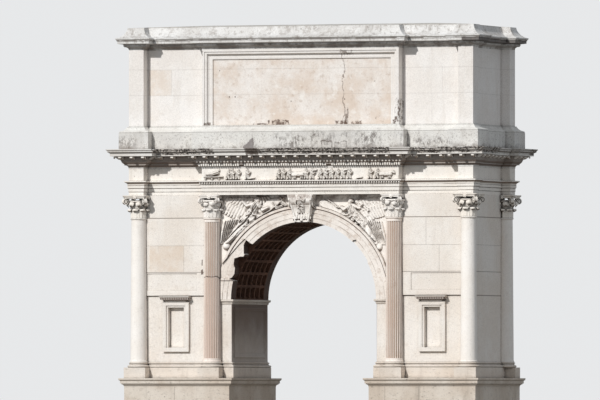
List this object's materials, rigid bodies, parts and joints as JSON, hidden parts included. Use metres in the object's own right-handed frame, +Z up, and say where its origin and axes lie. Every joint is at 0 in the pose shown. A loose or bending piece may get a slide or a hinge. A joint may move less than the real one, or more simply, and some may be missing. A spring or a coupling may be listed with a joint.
{
  "type": "triumphal arch",
  "caption": "Single-passage stone triumphal arch with engaged columns, coffered barrel vault, full entablature and a plain attic with a framed tablet.",
  "frame": {"origin": "on the ground at the middle of the passage", "axes": "+Z up, front face towards -Y, X along the faces"},
  "size_m": [14.54, 5.79, 15.48],
  "materials": {
    "travertine_podium": "pitted, matt",
    "wall_stone": "honed, weathered",
    "travertine_column": "plain, matt",
    "marble_fluted": "fluted, weathered",
    "marble_carved": "carved, weathered",
    "marble_vault": "sooted, matt",
    "marble_entablature": "weathered, stained",
    "attic_stone": "smooth ashlar, matt"
  },
  "bodies": {
    "root": {"architrave": "marble_entablature", "archivolt_back": "marble_carved", "archivolt_front": "marble_carved", "attic_base": "attic_stone", "attic_cornice": "attic_stone", "attic_wall_back": "attic_stone", "attic_wall_front": "attic_stone", "attic_wall_left": "attic_stone", "attic_wall_right": "attic_stone", "capital_inner_back_left": "marble_carved", "capital_inner_back_right": "marble_carved", "capital_inner_front_left": "marble_carved", "capital_inner_front_right": "marble_carved", "capital_outer_back_left": "marble_carved", "capital_outer_back_right": "marble_carved", "capital_outer_front_left": "marble_carved", "capital_outer_front_right": "marble_carved", "column_bases_left": "wall_stone", "column_bases_right": "wall_stone", "cornice": "marble_entablature", "frieze": "marble_entablature", "impost_left": "wall_stone", "impost_right": "wall_stone", "keystone_back": "marble_carved", "keystone_front": "marble_carved", "pier_left": "wall_stone", "pier_right": "wall_stone", "podium_cornice_left": "travertine_podium", "podium_cornice_right": "travertine_podium", "podium_left": "travertine_podium", "podium_right": "travertine_podium", "roof": "attic_stone", "shaft_inner_back_left": "marble_fluted", "shaft_inner_back_right": "marble_fluted", "shaft_inner_front_left": "marble_fluted", "shaft_inner_front_right": "marble_fluted", "shaft_outer_back_left": "travertine_column", "shaft_outer_back_right": "travertine_column", "shaft_outer_front_left": "travertine_column", "shaft_outer_front_right": "travertine_column", "spandrel_back": "marble_carved", "spandrel_front": "marble_carved", "vault": "marble_vault", "vault_lining": "marble_vault", "window_frames_back": "wall_stone", "window_frames_front": "wall_stone"}
  },
  "joints": []
}
